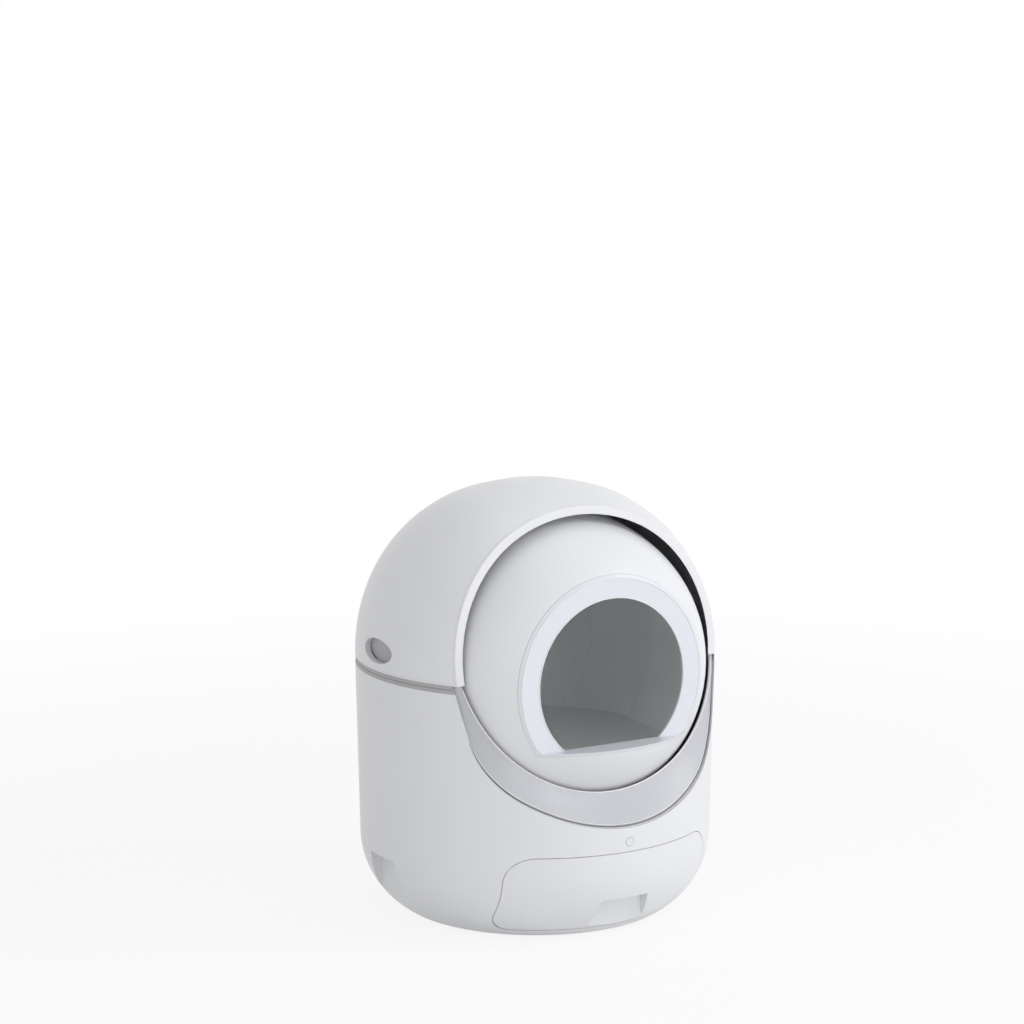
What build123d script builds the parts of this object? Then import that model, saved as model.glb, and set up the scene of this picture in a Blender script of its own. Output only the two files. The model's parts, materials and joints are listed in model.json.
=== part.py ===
from build123d import *
import os
from math import asin, cos, hypot, pi, radians, sin, sqrt, tan

# Self-cleaning litter box: a round base, a drum that turns in it on a drive hub, and a domed
# cover. Millimetres, +Z up, the entrance faces -Y, and the feet stand on Z = 0. The drum turns
# about a line along Y through the middle of the object.

# Base shell
body_radius = 260.0
shell_top = 356.0
shell_bottom = 3.0
shell_wall = 3.5
side_lean = 1.2
corner_radius = 122.0
corner_centre_z = 107.0
flange_width = 16.0

# Entry cut in the front of the base, seen from the front
entry_bottom = 165.0
entry_bottom_radius = 270.0
entry_break_angle = 32.0
entry_corner_radius = 130.0
entry_side_lean = 11.0

# Collar and deck on top of the base
collar_height = 11.0
collar_inner_radius = 248.0
collar_inset = 0.6
collar_groove_depth = 0.9
collar_groove_width = 1.2
deck_thickness = 3.0
deck_cut_gap = 0.5

# Drum
drum_axis_z = 362.0
front_radial = 224.0
front_power = 2.6
front_stations = 12
sill_radial = 228.0
sill_axial = 215.0
sill_centre_y = -44.0
seam_y = 14.0
track_radius = 231.5
track_width = 26.0
rear_centre_y = 11.0
drum_back_y = 190.0
drum_wall = 3.0
bezel_y = -209.0
bezel_plate = 3.5
entrance_radius = 117.4
sill_drop = 88.5
sill_plate = 3.5
front_liner_inset = 6.2
rear_liner_inset = 8.0
drum_liner_wall = 2.0
joint_ring_wall = 2.6
joint_ring_spigot = 12.0
joint_ring_web = 2.5
joint_ring_gap = 0.2
rear_lip_width = 3.0
inner_rib_y = 140.0
inner_rib_width = 6.0
inner_rib_height = 1.5
litter_floor_drop = 122.0
litter_floor_wall = 2.0
drum_screw_count = 12
drum_screw_radius = 2.2
drum_screw_length = 6.5
drum_screw_setback = 19.0
drum_screw_turn = 2.5
drum_screw_sink = 0.3
screw_hole_reach = 5.0
screw_hole_depth = 12.0
screw_edge = 3.0
port_x_start = -14.0
port_width = 106.0
port_length = 86.0
port_gap_to_seam = 14.0
port_frame_wall = 2.4
port_frame_depth = 22.0
screen_thickness = 2.0
screen_reach = 118.0
screen_slot_width = 8.0
screen_slot_pitch = 14.0
screen_slot_length = 62.0
screen_slot_foot = 8.0
screen_gap = 1.0
screen_length = 134.0

# Bowl of the base, which follows the drum at a distance
bowl_radius = 241.0
front_clearance = 5.5
back_clearance = 9.0
bowl_wall = 3.0
pit_radius = 210.0
pit_top = 240.0
ledge_z = 183.0
groove_depth = 1.8
groove_width = 8.0
groove_stations = [30.0, 166.0]
lip_bottom_y = -208.0
lip_bottom_z = 209.0
lip_lean = 20.8
bezel_wall = 2.5
bezel_reach = 3.0
bezel_room = 3.4
lip_setback = 0.5
chute_width = 150.0
chute_length = 120.0
chute_wall = 3.0
chute_bottom = 115.8
rise_above_chute = 60.0

# Drive at the back
hub_radius = 13.0
hub_front_gap = 3.0
hub_length = 12.0
hub_slot_width = 8.0
hub_slot_depth = 9.0
hub_gap = 1.0
tenon_height = 22.0
tenon_gap = 0.2
tenon_end_gap = 0.5
shaft_radius = 5.0
shaft_fit = 0.05
gear_module = 0.8
hub_gear_teeth = 24
pinion_teeth = 16
gear_width = 8.0
gear_gap = 2.0
motor_shaft_radius = 3.0
housing_half_width = 26.0
housing_wall = 2.5
housing_floor_z = 262.0
housing_top_gap = 1.0
housing_back_y = 250.0
gearbox_length = 20.0
gearbox_half_width = 16.0
gearbox_height = 44.0
gearbox_gap = 2.7
motor_radius = 12.0
motor_length = 36.0
motor_boss = 2.0
motor_mount_margin = 4.0
motor_shaft_setback = 1.0
bearing_wall = 6.0
bearing_outer_radius = 13.0
gear_cover_wall = 2.6
gear_tip_gap = 0.9
tooth_root_share = 0.31
tooth_tip_share = 0.13
tooth_depth_share = 1.25
gear_cover_flange = 7.0
gear_cover_flange_height = 2.0

# Support rollers under the drum's track
roller_radius = 9.0
roller_width = 8.0
roller_gap = 0.3
roller_angle = 56.0
roller_inset = 3.0
roller_side_gap = 0.5
roller_pin_radius = 2.5
cradle_cheek = 3.0
cradle_half_span = 9.0
cradle_depth = 13.0

# Cover
cover_top_rise = 250.7
cover_curve_start = 4.2
cover_curve_power = 2.29
cover_seat_gap = 0.2
cover_skin = 3.0
cover_wall = 9.5
cover_inner_skin = 2.6
cover_rim = 3.0
cover_front_y = -149.6
cover_front_slope = 0.124
rib_angles = [0.0, 20.5, 41.0, 60.0, 76.5, 104.0]
rib_height = 78.0
rib_depth = 5.0
rib_root = 5.0
rib_thickness = 2.2

# Release tabs at the sides, and the holes in the cover that show them
tab_hole_half_length = 40.0
tab_hole_half_height = 17.0
tab_hole_rise = 28.0
tab_disc_gap = 0.5
tab_gap = 1.4
tab_thickness = 2.2
tab_stem_width = 38.0
tab_pivot_z = 333.0
tab_barrel_radius = 3.0
tab_pin_radius = 2.0
tab_cheek = 3.0
tab_slot_gap = 1.0
tab_slot_depth = 8.0
tab_bracket_depth = 5.0
tab_bracket_setback = 0.4
tab_bridge_thickness = 2.0
tab_bridge_height = 10.0

# Waste drawer
drawer_half_width = 167.0
drawer_bottom = 15.0
drawer_top = 131.0
drawer_top_corner = 38.0
drawer_bottom_corner = 30.0
drawer_seam = 0.8
drawer_skin = 3.5
drawer_cut_end = -75.0
bin_half_width = 150.0
bin_floor_z = 20.2
bin_top = 112.0
bin_back_y = 140.0
bin_wall = 2.5
gasket_height = 3.0
gasket_width = 5.0
handle_half_width_top = 38.0
handle_half_width_bottom = 46.0
handle_top = 62.0
handle_bottom = 17.0
handle_depth = 20.0
pocket_wall = 2.5
runner_half_width = 6.0
runner_x = 120.0
runner_gap = 0.2
runner_front_gap = 2.0
runner_back_gap = 5.0

# Hand notches at the sides
notch_half_width_top = 34.0
notch_half_width_bottom = 44.0
notch_top = 97.0
notch_bottom = 32.0
notch_depth = 20.0

# Power button and inlet
button_z = 145.0
button_radius = 6.5
button_gap = 0.3
button_travel = 1.2
button_flange = 2.0
button_housing_wall = 1.8
button_housing_depth = 13.0
button_side_gap = 1.0
plunger_radius = 1.7
plunger_length = 2.0
switch_half_width = 3.0
inlet_x = 62.0
inlet_z = 62.0
inlet_radius = 5.5
inlet_bore = 3.2
inlet_pin = 1.0
inlet_body = 9.0
inlet_length = 16.0
inlet_base = 3.0
inlet_setback = 0.3
inlet_pin_setback = 2.0

# Bottom plate, feet and electronics
plate_thickness = 4.0
plate_radius = 192.0
foot_radius = 14.0
load_cell_radius = 12.0
foot_circle = 150.0
foot_angles = [45, 135, 225, 315]
post_radius = 6.0
post_places = [(172.0, -70.0), (172.0, 60.0), (80.0, 168.0)]
post_screw_radius = 2.0
post_screw_head = 4.0
post_screw_length = 12.0
bottom_screw_count = 8
board_width = 90.0
board_height = 50.0
board_y = 172.0
board_thickness = 1.6
bracket_wall = 2.0
bracket_foot = 18.0
bracket_top_margin = 4.0
board_rise = 8.0
board_part_places = [(-30.0, 14.0), (0.0, 8.0), (28.0, 20.0), (12.0, 30.0)]
board_part_sizes = [(14.0, 12.0, 6.0), (18.0, 12.0, 3.0), (10.0, 14.0, 9.0), (22.0, 6.0, 5.0)]

# Worked out once and shared by several pieces
fit_gap = 0.2
over = 1.0
far = 700.0
lean = radians(side_lean)
tangent_z = corner_centre_z - corner_radius * sin(lean)
corner_centre_x = body_radius - (shell_top - tangent_z) * tan(lean) - corner_radius * cos(lean)
rear_radius = hypot(track_radius, seam_y + track_width - rear_centre_y)
bowl_back_y = drum_back_y + back_clearance
collar_top = shell_top + collar_height
cover_seat_z = collar_top + cover_seat_gap
lip_slope = tan(radians(lip_lean))
entry_break = radians(entry_break_angle)
entry_end = radians(90.0 - entry_side_lean)
plate_z = shell_bottom + shell_wall
plate_top = plate_z + plate_thickness
hub_front_y = drum_back_y + hub_front_gap
hub_back_y = hub_front_y + hub_length
gear_distance = gear_module * (hub_gear_teeth + pinion_teeth) / 2
pinion_z = drum_axis_z - gear_distance


def slab(y_start, y_end):
    """Everything between two upright planes square to the drum's axis."""
    return Pos(0, (y_start + y_end) / 2, 0) * Box(2 * far, y_end - y_start, 2 * far)


def layer(z_start, z_end):
    """Everything between two level planes."""
    return Pos(0, 0, (z_start + z_end) / 2) * Box(2 * far, 2 * far, z_end - z_start)


def block(x_start, x_end, y_start, y_end, z_start, z_end):
    centre = Pos((x_start + x_end) / 2, (y_start + y_end) / 2, (z_start + z_end) / 2)
    return centre * Box(x_end - x_start, y_end - y_start, z_end - z_start)


def along_y(sketch, y_start, y_end, x=0.0, z=0.0):
    """A sketch in the X-Z plane, carried from one Y to another."""
    return Pos(x, y_end, z) * Rot(90, 0, 0) * extrude(sketch, y_end - y_start)


def rod_y(radius, y_start, y_end, x=0.0, z=0.0):
    return along_y(Circle(radius), y_start, y_end, x, z)


def rod_z(radius, z_start, z_end, x=0.0, y=0.0):
    return Pos(x, y, (z_start + z_end) / 2) * Cylinder(radius, z_end - z_start)


def ring_z(outer, inner, z_start, z_end):
    return rod_z(outer, z_start, z_end) - rod_z(inner, z_start - over, z_end + over)


def spheroid(radial, axial, centre_y):
    """An egg shape about the drum's axis."""
    half = Ellipse(radial, axial) & Pos(radial, 0) * Rectangle(2 * radial, 3 * axial)
    return Pos(0, centre_y, drum_axis_z) * revolve(half, Axis.Y)


def sill_radius(y):
    """The egg shape that the drum has at its sill, and the bowl round it."""
    along = (y - sill_centre_y) / sill_axial
    return sill_radial * sqrt(1 - along**2)


def front_radius(y, inset=0.0):
    """The drum narrows slowly from its seam to its shoulder, then quickly."""
    edge_share = (sill_radius(bezel_y) / front_radial) ** front_power
    axial = (seam_y - bezel_y) / (1 - edge_share) ** (1 / front_power)
    along = (seam_y - y) / (axial - inset)
    return (front_radial - inset) * (1 - along**front_power) ** (1 / front_power)


def front_volume(inset=0.0):
    """The drum's front half out to its seam, made smaller by an inset."""
    points = []
    for index in range(front_stations + 1):
        y = bezel_y + (seam_y - bezel_y) * index / front_stations
        points.append((front_radius(y, inset), y))
    sides = Polyline(points[-1], (0, seam_y), (0, bezel_y), points[0])
    body = revolve(make_face(Spline(*points) + sides), Axis.Y)
    egg = spheroid(sill_radial - inset, sill_axial - inset, sill_centre_y)
    return Pos(0, 0, drum_axis_z) * body + (egg & slab(-far, bezel_y))


def rear_volume(inset=0.0, back_inset=None):
    """The drum's rear half: a running track, then a ball shape up to its flat back."""
    if back_inset is None:
        back_inset = inset
    ball = spheroid(rear_radius - inset, rear_radius - inset, rear_centre_y)
    band = rod_y(track_radius - inset, seam_y, drum_back_y - back_inset, 0, drum_axis_z)
    return ball & band


def body_volume(inset=0.0, top=shell_top, bottom=shell_bottom):
    """The base's outside form, made smaller by an inset, between two heights."""
    radius = corner_radius - inset
    tangent = (corner_centre_x + radius * cos(lean), corner_centre_z - radius * sin(lean))
    top_x = tangent[0] + (top - tangent[1]) * tan(lean)
    low = -asin((corner_centre_z - bottom) / radius)
    middle = (low - lean) / 2
    start = (corner_centre_x + radius * cos(low), bottom)
    halfway = (corner_centre_x + radius * cos(middle), corner_centre_z + radius * sin(middle))
    outline = [
        Line((0, bottom), start),
        ThreePointArc(start, halfway, tangent),
        Line(tangent, (top_x, top)),
        Line((top_x, top), (0, top)),
        Line((0, top), (0, bottom)),
    ]
    return revolve(Plane.XZ * make_face(outline), Axis.Z)


def body_radius_at(z, inset=0.0):
    """The base's outside radius at a height."""
    if z >= tangent_z:
        return body_radius - (shell_top - z) * tan(lean) - inset
    radius = corner_radius - inset
    return corner_centre_x + sqrt(radius**2 - (corner_centre_z - z) ** 2)


def entry_corners(top):
    """Where the entry cut's bottom arc, corner arc and side line meet, on the right side."""
    first = (
        entry_bottom_radius * sin(entry_break),
        entry_bottom + entry_bottom_radius * (1 - cos(entry_break)),
    )
    centre = (
        first[0] - entry_corner_radius * sin(entry_break),
        first[1] + entry_corner_radius * cos(entry_break),
    )
    second = (
        centre[0] + entry_corner_radius * sin(entry_end),
        centre[1] - entry_corner_radius * cos(entry_end),
    )
    third = (second[0] + (top - second[1]) * tan(radians(entry_side_lean)), top)
    return first, centre, second, third


def entry_prism(top=shell_top + 100.0):
    """The cutter of the front entry."""
    first, centre, second, third = entry_corners(top)
    middle = (entry_break + entry_end) / 2
    bend = (
        centre[0] + entry_corner_radius * sin(middle),
        centre[1] - entry_corner_radius * cos(middle),
    )
    sides = []
    for side in (1, -1):
        sides.append(
            ThreePointArc(
                (side * first[0], first[1]),
                (side * bend[0], bend[1]),
                (side * second[0], second[1]),
            )
        )
        sides.append(Line((side * second[0], second[1]), (side * third[0], third[1])))
    bottom = ThreePointArc((-first[0], first[1]), (0, entry_bottom), first)
    lid = Line((-third[0], third[1]), third)
    return along_y(make_face(sides + [bottom, lid]), -far, 0)


def entry_point(share):
    """A point of the entry cut on the shell's inner face, from the bottom, 0, to the top, 1."""
    first, centre, second, third = entry_corners(collar_top)
    bottom_length = entry_bottom_radius * entry_break
    corner_length = entry_corner_radius * (entry_end - entry_break)
    line_length = hypot(third[0] - second[0], third[1] - second[1])
    way = abs(share) * (bottom_length + corner_length + line_length)
    if way <= bottom_length:
        angle = way / entry_bottom_radius
        x = entry_bottom_radius * sin(angle)
        z = entry_bottom + entry_bottom_radius * (1 - cos(angle))
    elif way <= bottom_length + corner_length:
        angle = entry_break + (way - bottom_length) / entry_corner_radius
        x = centre[0] + entry_corner_radius * sin(angle)
        z = centre[1] - entry_corner_radius * cos(angle)
    else:
        rest = (way - bottom_length - corner_length) / line_length
        x = second[0] + rest * (third[0] - second[0])
        z = second[1] + rest * (third[1] - second[1])
    y = -sqrt((body_radius_at(z, shell_wall) - fit_gap) ** 2 - x**2)
    return (x if share >= 0 else -x, y, z)


def lip_y(z):
    """The plane that the bowl's front lip lies in leans back as it rises."""
    return lip_bottom_y + (z - lip_bottom_z) * lip_slope


def lip_point(angle):
    """A point of the bowl's front lip, at an angle round the drum's axis from the bottom."""
    z = lip_bottom_z
    for _ in range(60):
        along = (lip_y(z) - sill_centre_y) / (sill_axial + front_clearance)
        reach = (sill_radial + front_clearance) * sqrt(1 - along**2)
        z = (z + drum_axis_z - reach * cos(angle)) / 2
    return (reach * sin(angle), lip_y(z), z)


def lip_top_angle():
    low = radians(60)
    high = radians(120)
    for _ in range(50):
        middle = (low + high) / 2
        if lip_point(middle)[2] < collar_top:
            low = middle
        else:
            high = middle
    return low


def bezel_face(reach=0.0):
    """The sloping surface from the entry cut in to the bowl's lip, or past it by a reach."""
    stations = [index / 12 for index in range(-12, 13)]
    top_angle = lip_top_angle()
    outer = [Vector(*entry_point(share)) for share in stations]
    inner = []
    for start, share in zip(outer, stations):
        end = Vector(*lip_point(share * top_angle))
        inner.append(end + (end - start).normalized() * reach)
    return Face.make_surface_from_curves(Spline(outer), Spline(inner))


def bezel_solid(thickness, reach=0.0, both_sides=False):
    """The sloping surface given a thickness on its hidden side, or on both sides."""
    face = bezel_face(reach)
    toward_back = face.normal_at(face.center()).dot(Vector(0, 1, -1)) > 0
    amount = thickness if toward_back else -thickness
    return Solid(thicken(face, amount, both=both_sides).wrapped)


def behind_lip(setback=0.0):
    """Everything behind the plane of the bowl's lip."""
    outline = Polyline(
        (lip_y(-far) + setback, -far),
        (far, -far),
        (far, far),
        (lip_y(far) + setback, far),
        close=True,
    )
    return Pos(-far, 0, 0) * extrude(Plane.YZ * make_face(outline), 2 * far)


def bowl_cavity(grow=0.0):
    """The space in the base that the drum turns in, made larger by a wall."""
    ball = spheroid(bowl_radius + grow, bowl_radius + grow, rear_centre_y)
    ball = ball & slab(-far, bowl_back_y + grow)
    egg = spheroid(
        sill_radial + front_clearance + grow,
        sill_axial + front_clearance + grow,
        sill_centre_y,
    )
    egg = egg & slab(-far, rear_centre_y)
    pit = rod_z(pit_radius + grow, ledge_z - grow, pit_top, 0, rear_centre_y)
    return ball + egg + pit


def pocket(top, bottom, half_top, half_bottom, depth, grow=0.0):
    """A finger pocket facing -Y: deep under its flat top, and flush where it runs out below."""
    outside = -far / 2
    upper_back = -body_radius_at(top) + depth + grow
    lower_back = -body_radius_at(bottom) + grow
    upper = Pos(0, (outside + upper_back) / 2, top + grow) * Rectangle(
        2 * (half_top + grow), upper_back - outside
    )
    lower = Pos(0, (outside + lower_back) / 2, bottom) * Rectangle(
        2 * (half_bottom + grow), lower_back - outside
    )
    return loft([lower, upper], ruled=True)


def handle_pocket(grow=0.0):
    return pocket(
        handle_top,
        handle_bottom,
        handle_half_width_top,
        handle_half_width_bottom,
        handle_depth,
        grow,
    )


def notch_pocket(side, grow=0.0):
    shape = pocket(
        notch_top,
        notch_bottom,
        notch_half_width_top,
        notch_half_width_bottom,
        notch_depth,
        grow,
    )
    return Rot(0, 0, 90 * side) * shape


def drawer_prism(inset=0.0):
    """The drawer front's rounded outline, carried forward through the shell."""
    width = 2 * (drawer_half_width - inset)
    height = drawer_top - drawer_bottom - 2 * inset
    outline = Pos(0, (drawer_top + drawer_bottom) / 2) * Rectangle(width, height)
    upper = outline.vertices().sort_by(Axis.Y)[-2:]
    outline = fillet(upper, drawer_top_corner - inset)
    lower = outline.vertices().sort_by(Axis.Y)[:2]
    outline = fillet(lower, drawer_bottom_corner - inset)
    return along_y(outline, -far, drawer_cut_end)


def polar(radius, angle):
    """X and Y of a point at an angle in degrees from +X."""
    return radius * cos(radians(angle)), radius * sin(radians(angle))


def round_y(radius, x, z, front):
    """A long rod along Y on the front or the back half."""
    if front:
        return rod_y(radius, -far, 0, x, z)
    return rod_y(radius, 0, far, x, z)


def skin(outer_inset, inner_inset, tool, top=shell_top):
    """The part of the base's wall between two insets that lies inside a tool."""
    return (body_volume(outer_inset, top) & tool) - body_volume(inner_inset, top + over)


# Base


def base_shell():
    shape = body_volume() - body_volume(shell_wall, shell_top + over, plate_z)
    hole = body_radius_at(shell_bottom) - flange_width
    shape -= rod_z(hole, shell_bottom - over, plate_z + over)
    shape -= entry_prism()
    shape -= drawer_prism()
    for side in (1, -1):
        shape += body_volume() & (notch_pocket(side, pocket_wall))
    for side in (1, -1):
        shape -= notch_pocket(side)
    shape -= round_y(button_radius + button_gap, 0, button_z, True)
    shape -= round_y(inlet_radius, inlet_x, inlet_z, False)
    for x, y in bottom_screw_places():
        shape -= rod_z(post_screw_radius + fit_gap, shell_bottom - over, plate_z + over, x, y)
    return shape


def bottom_screw_places():
    radius = (body_radius_at(shell_bottom) - flange_width + plate_radius) / 2
    step = 360 / bottom_screw_count
    return [polar(radius, step * (index + 0.5)) for index in range(bottom_screw_count)]


def post_positions():
    places = []
    for x, y in post_places:
        places.append((x, y))
        places.append((-x, y))
    return places


def bottom_plate():
    shape = rod_z(plate_radius, plate_z, plate_top)
    for x, y in bottom_screw_places():
        shape -= rod_z(post_screw_radius + fit_gap, plate_z - over, plate_top + over, x, y)
    return shape


def bottom_screws():
    group = []
    for x, y in bottom_screw_places():
        head = rod_z(post_screw_head, shell_bottom / 2, shell_bottom, x, y)
        group.append(head + rod_z(post_screw_radius, shell_bottom, plate_top, x, y))
    return group


def rubber_feet():
    places = [polar(foot_circle, angle) for angle in foot_angles]
    return [rod_z(foot_radius, 0, shell_bottom, x, y) for x, y in places]


def load_cells():
    places = [polar(foot_circle, angle) for angle in foot_angles]
    return [rod_z(load_cell_radius, shell_bottom, plate_z, x, y) for x, y in places]


def support_posts():
    group = []
    for x, y in post_positions():
        post = rod_z(post_radius, plate_top, ledge_z - bowl_wall, x, y)
        bore = rod_z(post_screw_radius + fit_gap, ledge_z - post_screw_length - over, ledge_z, x, y)
        group.append(post - bore)
    return group


def ledge_screws():
    group = []
    for x, y in post_positions():
        head = rod_z(post_screw_head, ledge_z, ledge_z + post_screw_radius, x, y)
        shank = rod_z(post_screw_radius, ledge_z - post_screw_length, ledge_z, x, y)
        group.append(head + shank)
    return group


def hub_opening(gap):
    """Room round the hub, open upwards, so that the drum's tenon can be lifted out."""
    radius = hub_radius + gap
    top = drum_axis_z + far
    room = rod_y(radius, bowl_back_y - over, hub_back_y + fit_gap, 0, drum_axis_z)
    return room + block(-radius, radius, bowl_back_y - over, hub_back_y + fit_gap, drum_axis_z, top)


def bowl_liner():
    shape = bowl_cavity(bowl_wall) & layer(0, shell_top - deck_thickness)
    shape -= bowl_cavity()
    shape &= behind_lip(lip_setback)
    shape -= bezel_solid(bezel_room, bezel_reach, True)
    shape = shape.solids().sort_by(SortBy.VOLUME)[-1]
    groove_radius = bowl_radius + groove_depth
    ring = spheroid(groove_radius, groove_radius, rear_centre_y)
    ring &= layer(ledge_z + bowl_wall, far)
    for station in groove_stations:
        shape -= ring & slab(station - groove_width / 2, station + groove_width / 2)
    shape -= chute_prism(chute_wall + fit_gap)
    shape -= hub_opening(hub_gap)
    for side in (1, -1):
        shape -= roller_room(side)
    for x, y in post_positions():
        shape -= rod_z(post_screw_radius + fit_gap, ledge_z - bowl_wall - over, ledge_z + over, x, y)
    return shape


def deck_slots():
    """Room in the deck for the release tabs."""
    half = tab_stem_width / 2 + tab_slot_gap
    inner = collar_inner_radius - tab_slot_depth
    outer = tab_outer_radius + tab_slot_gap
    rooms = []
    for side in (1, -1):
        edges = sorted((side * inner, side * outer))
        rooms.append(block(*edges, -half, half, pinion_z, collar_top + over))
    return rooms


def collar_deck():
    limit = body_radius - shell_wall - fit_gap
    deck = rod_z(limit, shell_top - deck_thickness, shell_top) - bowl_cavity()
    deck -= block(
        -bearing_outer_radius - deck_cut_gap,
        bearing_outer_radius + deck_cut_gap,
        bowl_back_y - over,
        gear_cover_end_y + deck_cut_gap,
        drum_axis_z - far,
        far,
    )
    outer = body_radius - collar_inset
    collar = ring_z(outer, collar_inner_radius, shell_top, collar_top)
    middle = (shell_top + collar_top) / 2
    collar -= ring_z(
        outer + over,
        outer - collar_groove_depth,
        middle - collar_groove_width / 2,
        middle + collar_groove_width / 2,
    )
    shape = deck + collar
    shape &= behind_lip()
    shape -= entry_prism()
    shape -= bezel_solid(bezel_wall + fit_gap)
    for room in deck_slots():
        shape -= room
    return shape


def front_bezel():
    return bezel_solid(bezel_wall)


def chute_prism(grow=0.0):
    half_x = chute_width / 2 + grow
    half_y = chute_length / 2 + grow
    return block(
        -half_x,
        half_x,
        rear_centre_y - half_y,
        rear_centre_y + half_y,
        chute_bottom,
        chute_bottom + rise_above_chute,
    )


def waste_chute():
    return chute_prism(chute_wall) - chute_prism() - bowl_cavity()


def drawer_runners():
    group = []
    front = -sqrt(plate_radius**2 - (runner_x + runner_half_width) ** 2) + runner_front_gap
    for side in (1, -1):
        x = side * runner_x
        group.append(
            block(
                x - runner_half_width,
                x + runner_half_width,
                front,
                bin_back_y - runner_back_gap,
                plate_top,
                bin_floor_z - runner_gap,
            )
        )
    return group


def board_bracket():
    half = board_width / 2
    foot = block(-half, half, board_y - bracket_foot, board_y, plate_top, plate_top + bracket_wall)
    top = plate_top + board_rise + board_height + bracket_top_margin
    return foot + block(-half, half, board_y, board_y + bracket_wall, plate_top, top)


def control_board():
    half = board_width / 2
    low = plate_top + board_rise
    return block(-half, half, board_y - board_thickness, board_y, low, low + board_height)


def board_parts():
    face = board_y - board_thickness
    low = plate_top + board_rise
    group = []
    for (x, rise), (width, height, depth) in zip(board_part_places, board_part_sizes):
        z = low + rise
        group.append(block(x - width / 2, x + width / 2, face - depth, face, z, z + height))
    return group


def dc_inlet():
    barrel = round_y(inlet_radius - fit_gap, inlet_x, inlet_z, False)
    body = round_y(inlet_body, inlet_x, inlet_z, False)
    shape = skin(inlet_setback, inlet_length, barrel) + skin(shell_wall + fit_gap, inlet_length, body)
    bore = round_y(inlet_bore, inlet_x, inlet_z, False) - body_volume(inlet_length - inlet_base)
    pin_end = inlet_length - inlet_pin_setback
    pin = skin(inlet_pin_setback, pin_end, round_y(inlet_pin, inlet_x, inlet_z, False))
    return shape - bore + pin


def button_parts():
    """The cap's flange, the switch and its housing, as depths behind the shell's face."""
    flange_front = shell_wall + button_gap
    flange_back = flange_front + button_flange
    plunger = flange_back + button_travel + button_gap
    return flange_front, flange_back, plunger


def power_button():
    flange_front, flange_back, _ = button_parts()
    cap = skin(0, flange_front, round_y(button_radius, 0, button_z, True))
    wide = round_y(button_radius + button_flange, 0, button_z, True)
    flange = skin(flange_front, flange_back, wide)
    return cap + flange


def button_housing():
    inner = button_radius + button_flange + button_side_gap
    outer = inner + button_housing_wall
    tube = round_y(outer, 0, button_z, True) - round_y(inner, 0, button_z, True)
    wall = skin(shell_wall + fit_gap, shell_wall + button_housing_depth, tube)
    back = skin(
        shell_wall + button_housing_depth - button_housing_wall,
        shell_wall + button_housing_depth,
        round_y(outer, 0, button_z, True),
    )
    return wall + back


def button_switch():
    _, _, plunger = button_parts()
    back = shell_wall + button_housing_depth - button_housing_wall
    half = switch_half_width
    body = block(-half, half, -far, 0, button_z - half, button_z + half)
    stem = round_y(plunger_radius, 0, button_z, True)
    plunger_end = plunger + plunger_length
    return skin(plunger_end, back, body) + skin(plunger, plunger_end, stem)


# Drive


tongue_front_y = hub_back_y + shaft_fit + fit_gap
tongue_back_y = tongue_front_y + bearing_wall
gear_front_y = tongue_back_y + gear_gap
gear_back_y = gear_front_y + gear_width
gearbox_front_y = gear_back_y + gearbox_gap
gear_tip_radius = gear_module * (hub_gear_teeth + 2) / 2
gear_cover_wall_y = gear_back_y + gear_gap
gear_cover_end_y = gear_cover_wall_y + gear_cover_wall
shaft_end_y = gear_cover_end_y
housing_top_z = shell_top - deck_thickness - housing_top_gap
gearbox_bottom_z = housing_top_z - gearbox_height


def drive_hub():
    shape = rod_y(hub_radius, hub_front_y, hub_back_y, 0, drum_axis_z)
    half = hub_slot_width / 2
    slot_back = hub_front_y + hub_slot_depth
    return shape - block(-half, half, hub_front_y - over, slot_back, 0, far)


def drive_shaft():
    return rod_y(shaft_radius, hub_back_y, shaft_end_y, 0, drum_axis_z)


def gear(teeth, bore, turn):
    """A straight-toothed gear in the X-Z plane about the origin."""
    pitch = gear_module * teeth / 2
    root = pitch - tooth_depth_share * gear_module
    tip = pitch + gear_module
    step = 2 * pi / teeth
    points = []
    corners = (
        (-tooth_root_share, root),
        (-tooth_tip_share, tip),
        (tooth_tip_share, tip),
        (tooth_root_share, root),
    )
    for index in range(teeth):
        centre = turn + index * step
        for share, radius in corners:
            angle = centre + share * step
            points.append((radius * cos(angle), radius * sin(angle)))
    outline = make_face(Polyline(*points, close=True))
    return outline - Circle(bore)


def hub_gear():
    sketch = gear(hub_gear_teeth, shaft_radius + shaft_fit, -pi / 2)
    return along_y(sketch, gear_front_y, gear_back_y, 0, drum_axis_z)


def pinion():
    half_step = pi / pinion_teeth
    sketch = gear(pinion_teeth, motor_shaft_radius + shaft_fit, pi / 2 + half_step)
    return along_y(sketch, gear_front_y, gear_back_y, 0, pinion_z)


def motor_shaft():
    return rod_y(motor_shaft_radius, tongue_front_y + motor_shaft_setback, gearbox_front_y, 0, pinion_z)


def drive_housing():
    front = bowl_back_y + bowl_wall + fit_gap
    half = housing_half_width
    wall = housing_wall
    shape = block(-half, half, front, housing_back_y, housing_floor_z, housing_top_z)
    shape -= block(
        wall - half,
        half - wall,
        front + wall,
        housing_back_y - wall,
        housing_floor_z + wall,
        housing_top_z + over,
    )
    radius = bearing_outer_radius
    shape += block(
        -radius, radius, front, tongue_back_y, pinion_z - 2 * radius, drum_axis_z
    )
    shape += rod_y(radius, tongue_front_y, tongue_back_y, 0, drum_axis_z)
    shape -= hub_opening(hub_gap)
    shape -= rod_y(shaft_radius + shaft_fit, front - over, tongue_back_y + over, 0, drum_axis_z)
    bore = motor_shaft_radius + shaft_fit
    shape -= rod_y(bore, tongue_front_y, tongue_back_y + over, 0, pinion_z)
    return shape


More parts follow.
